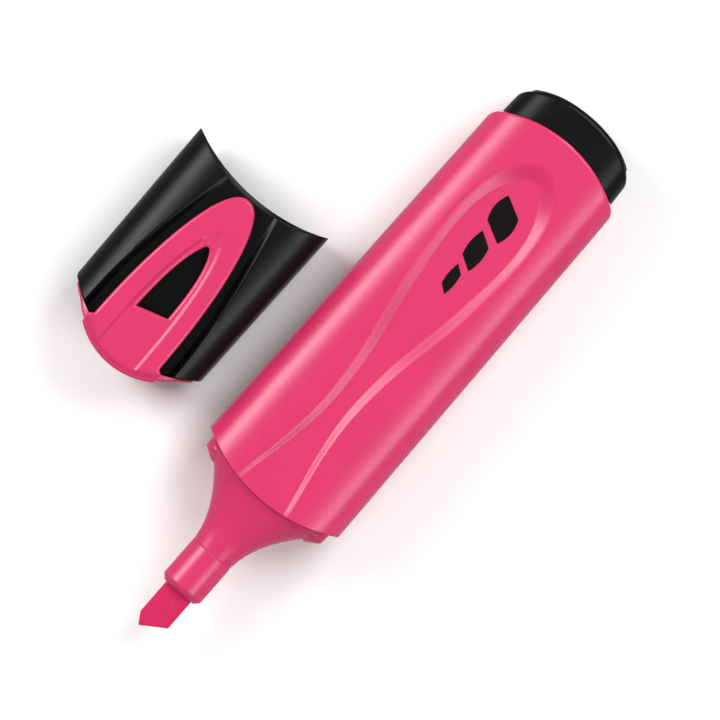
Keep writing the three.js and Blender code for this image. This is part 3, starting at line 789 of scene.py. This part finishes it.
def clip():
    outer, window = spaced(clip_outline(), spacing=EDGE_SPACING), spaced(window_ring(), spacing=EDGE_SPACING)
    # Both directions point into the clip's material.
    into, out_of = inward(outer), -inward(window)
    top_outer, top_window = outer + into * EDGE_WIDTH, window + out_of * EDGE_WIDTH
    skin = Skin()

    free, links, grid = top_points(top_outer, top_window)
    plan, triangles, given = triangulate(top_outer, top_window, free, links)
    skin.add(plan, clip_surface(plan))
    skin.faces += triangles.tolist()
    point_of = {old: new for new, olds in enumerate(given) for old in olds}
    outer_ids = [point_of[i] for i in range(len(outer))]
    window_ids = [point_of[len(outer) + i] for i in range(len(window))]

    top, bottom = clip_surface(top_outer), outer + into * LOWER_EDGE
    low = clip_underside(outer, top, CLIP_THICKNESS)
    below = [(outer, low + LOWER_EDGE), (bottom, low)]
    outer_ids = skin.walls(outer_ids, rounding(outer, into, top) + below, True)
    top = clip_surface(top_window)
    below = [(window, top - CLIP_THICKNESS + HOLLOW)]
    window_ids = skin.walls(window_ids, rounding(window, out_of, top) + below, False)

    free = grid[::2]
    plan, triangles, given = triangulate(bottom, window, free[clear(free, bottom, window, 0.3)])
    edge_ids = outer_ids + window_ids
    ids = {new: edge_ids[old] for new, olds in enumerate(given) for old in olds if old < len(edge_ids)}
    rest = [i for i in range(len(plan)) if i not in ids]
    top = clip_surface(plan[rest])
    z = np.minimum(clip_underside(plan[rest], top, CLIP_THICKNESS - HOLLOW), top - LEAST_THICKNESS)
    ids.update(zip(rest, skin.add(plan[rest], z)))
    skin.faces += [[ids[i] for i in triangle[::-1]] for triangle in triangles.tolist()]
    return make("clip_moulding", np.concatenate(skin.points), skin.faces, CAP, 50)


# ---------------------------------------------------------------- inner cap
CUP_PROFILE = ((0.001, 4.2), (3.9, 4.2), (4.1, 4.4), (4.1, 14.4), (4.95, 15.3), (4.95, 23.2), (4.85, 23.42),
               (4.7, 23.5), (4.4, 23.5), (4.25, 23.4), (4.15, 23.15), (4.15, 15.3), (3.3, 14.5), (3.3, 5.2),
               (3.1, 5.0), (0.001, 5.0))


def inner_cap():
    """The soft cup: its profile of radius and x, turned round the axis."""
    a = np.linspace(0, 2 * math.pi, 96, endpoint=False)
    rings = [ring_at(x, r * np.cos(a), r * np.sin(a)) for r, x in CUP_PROFILE]
    return make("liner_cup", *capped(rings), CAP, 35)


# ---------------------------------------------------------------- printed mark
# Two ends along the pen, half height and lean of three chisel strokes.
STROKES = ((41.5, 45.6, 1.0, 0.55), (47.0, 52.0, 1.7, 0.75), (53.6, 58.8, 2.5, 0.95))


def printed_mark():
    """Thin prisms that start inside the panel's floor and stand just above it."""
    t = np.linspace(0, 1, 26)
    points, faces, first = [], [], 0
    for x0, x1, height, lean in STROKES:
        x = x0 + (x1 - x0) * t
        half = height * (0.55 + 0.45 * np.sin(math.pi * (0.15 + 0.7 * t)))
        ring = np.vstack([np.stack([x - lean, -half], -1), np.stack([x + lean, half], -1)[::-1]])
        stroke, stroke_faces = capped([np.column_stack([ring, panel_floor(ring[:, 0]) + lift])
                                       for lift in (-0.05, 0.03)])
        points.append(stroke)
        faces += [[first + i for i in face] for face in stroke_faces]
        first += len(stroke)
    return make("printed_mark", np.concatenate(points), faces, PEN, 30)


# ---------------------------------------------------------------- materials
class Nodes:
    """A material's node tree round one principled shader."""

    def __init__(self, name):
        self.mat = bpy.data.materials.new(name)
        self.mat.use_nodes = True
        self.tree = self.mat.node_tree
        self.tree.nodes.clear()
        self.out = self.tree.nodes.new("ShaderNodeOutputMaterial")
        self.bsdf = self.tree.nodes.new("ShaderNodeBsdfPrincipled")
        self.tree.links.new(self.bsdf.outputs[0], self.out.inputs["Surface"])
        self.coord = self.tree.nodes.new("ShaderNodeTexCoord").outputs["Object"]

    def node(self, kind, **settings):
        n = self.tree.nodes.new(kind)
        for k, v in settings.items():
            if k.startswith("in_"):
                n.inputs[k[3:].replace("_", " ")].default_value = v
            else:
                setattr(n, k, v)
        return n

    def link(self, a, b):
        self.tree.links.new(a, b)

    def scaled(self, scale):
        m = self.node("ShaderNodeMapping")
        m.inputs["Scale"].default_value = scale
        self.link(self.coord, m.inputs["Vector"])
        return m.outputs[0]

    def noise(self, scale, detail=2.0, vector=None, rough=0.5):
        n = self.node("ShaderNodeTexNoise", in_Scale=scale, in_Detail=detail, in_Roughness=rough)
        self.link(vector if vector is not None else self.coord, n.inputs["Vector"])
        return n.outputs["Fac"]

    def ramp(self, fac, stops):
        r = self.node("ShaderNodeValToRGB")
        e = r.color_ramp.elements
        e[0].position, e[0].color = stops[0][0], (*stops[0][1], 1)
        e[1].position, e[1].color = stops[-1][0], (*stops[-1][1], 1)
        for pos, col in stops[1:-1]:
            n = e.new(pos)
            n.color = (*col, 1)
        self.link(fac, r.inputs[0])
        return r.outputs[0]

    def put(self, value, socket):
        """Gives an input a socket to follow, a number or a colour."""
        if isinstance(value, bpy.types.NodeSocket):
            self.link(value, socket)
        elif isinstance(value, (int, float)):
            socket.default_value = value
        else:
            socket.default_value = (*value, 1)

    def mix(self, fac, a, b):
        m = self.node("ShaderNodeMix", data_type="RGBA")
        for value, socket in ((fac, m.inputs[0]), (a, m.inputs[6]), (b, m.inputs[7])):
            self.put(value, socket)
        return m.outputs[2]

    def span(self, fac, lo, hi):
        m = self.node("ShaderNodeMapRange")
        m.inputs["To Min"].default_value = lo
        m.inputs["To Max"].default_value = hi
        self.link(fac, m.inputs["Value"])
        return m.outputs[0]

    def bump(self, height, distance, normal=None):
        b = self.node("ShaderNodeBump", in_Strength=1.0, in_Distance=distance)
        self.link(height, b.inputs["Height"])
        if normal is not None:
            self.link(normal, b.inputs["Normal"])
        return b.outputs[0]

    def shade(self, **inputs):
        """Sets the shader's inputs and gives the material."""
        for name, value in inputs.items():
            self.put(value, self.bsdf.inputs[name.replace("_", " ")])
        return self.mat


GRAIN = 0.0000012           # depth of the plastic's grain in metres


def plastic(name, colour, edge_highlight_colour, rough=(0.25, 0.3), specular=0.36):
    n = Nodes(name)
    wide, fine = n.noise(650, 2), n.noise(5200, 2)
    darker, lighter = [c * 0.965 for c in colour], [min(1, c * 1.03) for c in colour]
    base = n.ramp(n.noise(90, 3), [(0.3, darker), (0.7, lighter)])
    edge = n.node("ShaderNodeNewGeometry").outputs["Pointiness"]
    # Sharp convex edges, found by pointiness, are mixed towards the paler colour: a painted highlight along
    # the edges.
    edge_highlight = n.ramp(edge, [(0.6, (0, 0, 0)), (0.78, (0.7, 0.7, 0.7))])
    return n.shade(Base_Color=n.mix(edge_highlight, base, edge_highlight_colour), Roughness=n.span(wide, *rough),
                   Normal=n.bump(fine, GRAIN, n.bump(wide, GRAIN * 1.2)), Specular_IOR_Level=specular)


def felt():
    n = Nodes("inked_felt")
    fibre = n.noise(1, 3, n.scaled((900, 5200, 5200)), 0.6)
    base = n.ramp(fibre, [(0.3, (0.47, 0.014, 0.074)), (0.7, (0.59, 0.022, 0.109))])
    colour = n.mix(n.span(n.noise(420, 3), 0, 0.35), base, (0.44, 0.012, 0.065))
    return n.shade(Base_Color=colour, Roughness=0.82, Normal=n.bump(fibre, 0.00003), Specular_IOR_Level=0.15)


def fibre_bundle():
    n = Nodes("reservoir_fibre")
    fibre = n.noise(1, 3, n.scaled((300, 4200, 4200)), 0.6)
    colour = n.ramp(fibre, [(0.3, (0.7, 0.06, 0.16)), (0.7, (0.85, 0.16, 0.3))])
    return n.shade(Base_Color=colour, Roughness=0.9, Normal=n.bump(fibre, 0.00004))


def film():
    n = Nodes("clear_film")
    crease = n.noise(700, 4)
    colour = n.ramp(crease, [(0.3, (0.8, 0.8, 0.79)), (0.7, (0.9, 0.9, 0.89))])
    return n.shade(Base_Color=colour, Roughness=0.18, Normal=n.bump(crease, 0.00003))


def ink_print():
    n = Nodes("black_print")
    grain = n.noise(3500, 2)
    colour = n.ramp(grain, [(0.3, (0.003, 0.002, 0.0022)), (0.7, (0.006, 0.004, 0.0045))])
    return n.shade(Base_Color=colour, Roughness=n.span(grain, 0.35, 0.5), Normal=n.bump(grain, 0.000002),
                   Specular_IOR_Level=0.08)


def floor_material():
    n = Nodes("pale_floor")
    colour = n.ramp(n.noise(40, 2), [(0.3, (0.86, 0.86, 0.86)), (0.7, (0.88, 0.88, 0.88))])
    return n.shade(Base_Color=colour, Roughness=0.9, Specular_IOR_Level=0.1)


# The third colour of each plastic is its painted edge highlight.
pink = plastic("pink_plastic", (0.54, 0.027, 0.109), (0.74, 0.105, 0.21))
black = plastic("black_plastic", (0.0024, 0.0032, 0.0036), (0.012, 0.013, 0.014), (0.27, 0.33), specular=0.14)
liner = plastic("liner_plastic", (0.8, 0.79, 0.75), (0.9, 0.89, 0.86), (0.4, 0.5))


def dress(ob, material):
    ob.data.materials.clear()
    ob.data.materials.append(material)


# ---------------------------------------------------------------- pieces
def add(ob, material, body, slot, *nodes):
    dress(ob, material)
    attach(ob, body)
    if nodes:
        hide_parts(*nodes)


add(barrel(), pink, "barrel", "pink_plastic", "barrel_shell")
add(nose(), pink, "barrel", "pink_plastic", "nose_section")
add(nib(), felt(), "barrel", "inked_felt", "nib")
add(plug(), black, "barrel", "black_plastic", "end_plug")
add(printed_mark(), ink_print(), "barrel", "black_plastic")
add(sleeve(), black, "cap", "black_plastic", "cap_sleeve")
add(insert_end(), pink, "cap", "pink_plastic", "cap_insert")
add(inner_cap(), liner, "cap", "liner_plastic", "inner_cap")
tongue = clip()
dress(tongue, pink)
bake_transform(tongue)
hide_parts("clip")
dress(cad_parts["ink_reservoir"], fibre_bundle())
dress(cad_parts["reservoir_film"], film())

# ---------------------------------------------------------------- floor, light, camera, in metres
FLOOR_HALF, FLOOR_DROP = 3, 0.00002
RIGHT = Vector((0.657, -0.754, 0))             # the way that the picture's right side points
AIM = Vector((0, -0.005, 0.008))
ALONG, ACROSS = Vector((1, 0, 0)), Vector((0, 1, 0))
CAMERA_DISTANCE, VIEW_WIDTH, SENSOR_WIDTH = 4.0, 0.11613, 36

floor_signs = ((-1, -1), (1, -1), (1, 1), (-1, 1))
floor_corners = [(x * FLOOR_HALF, y * FLOOR_HALF, -FLOOR_DROP) for x, y in floor_signs]
floor_mesh = bpy.data.meshes.new("floor")
floor_mesh.from_pydata(floor_corners, [], [(0, 1, 2, 3)])
floor = link(floor_mesh, "floor")
dress(floor, floor_material())
# The sides of the pen and the cap mirror the dim studio and not the white floor.
floor.visible_glossy = False


def softbox(name, towards, from_vertical, distance, width, height, power):
    """An area light that faces the object: width runs level, height runs up its face."""
    tilt = math.radians(from_vertical)
    d = towards.normalized() * math.sin(tilt) + Vector((0, 0, math.cos(tilt)))
    light = bpy.data.lights.new(name, "AREA")
    light.shape, light.size, light.size_y = "RECTANGLE", width, height
    light.energy = power
    ob = link(light, name)
    ob.location = AIM + d * distance
    ob.rotation_euler = d.to_track_quat("Z", "Y").to_euler()


softbox("light_left", ACROSS - ALONG * 0.08, 52.5, 0.69, 0.26, 0.22, 1.55)
softbox("light_left_wide", ACROSS - ALONG * 0.08, 53, 0.7, 0.34, 0.5, 2.1)
softbox("light_right", -ACROSS - ALONG * 0.08, 54, 0.69, 0.3, 0.2, 0.69)
softbox("light_right_wide", -ACROSS - ALONG * 0.08, 51.5, 0.7, 0.42, 0.46, 1.32)
softbox("light_top", ALONG * 0.97 - ACROSS * 0.25, 36, 0.9, 0.5, 0.4, 5.3)

world = bpy.data.worlds.new("studio")
bpy.context.scene.world = world
world.use_nodes = True
background = world.node_tree.nodes["Background"]
background.inputs["Color"].default_value = (1, 1, 1, 1)
background.inputs["Strength"].default_value = 0.37

camera_data = bpy.data.cameras.new("camera")
camera_data.sensor_width = SENSOR_WIDTH
camera_data.lens = SENSOR_WIDTH * CAMERA_DISTANCE / VIEW_WIDTH
camera_data.clip_end = 20
camera = link(camera_data, "camera")
camera.location = Vector((0.00085, -0.0139, HALF * MM + CAMERA_DISTANCE))
camera.rotation_euler = (0, 0, math.atan2(RIGHT.y, RIGHT.x))
bpy.context.scene.camera = camera
bpy.context.scene.view_settings.view_transform = "Standard"
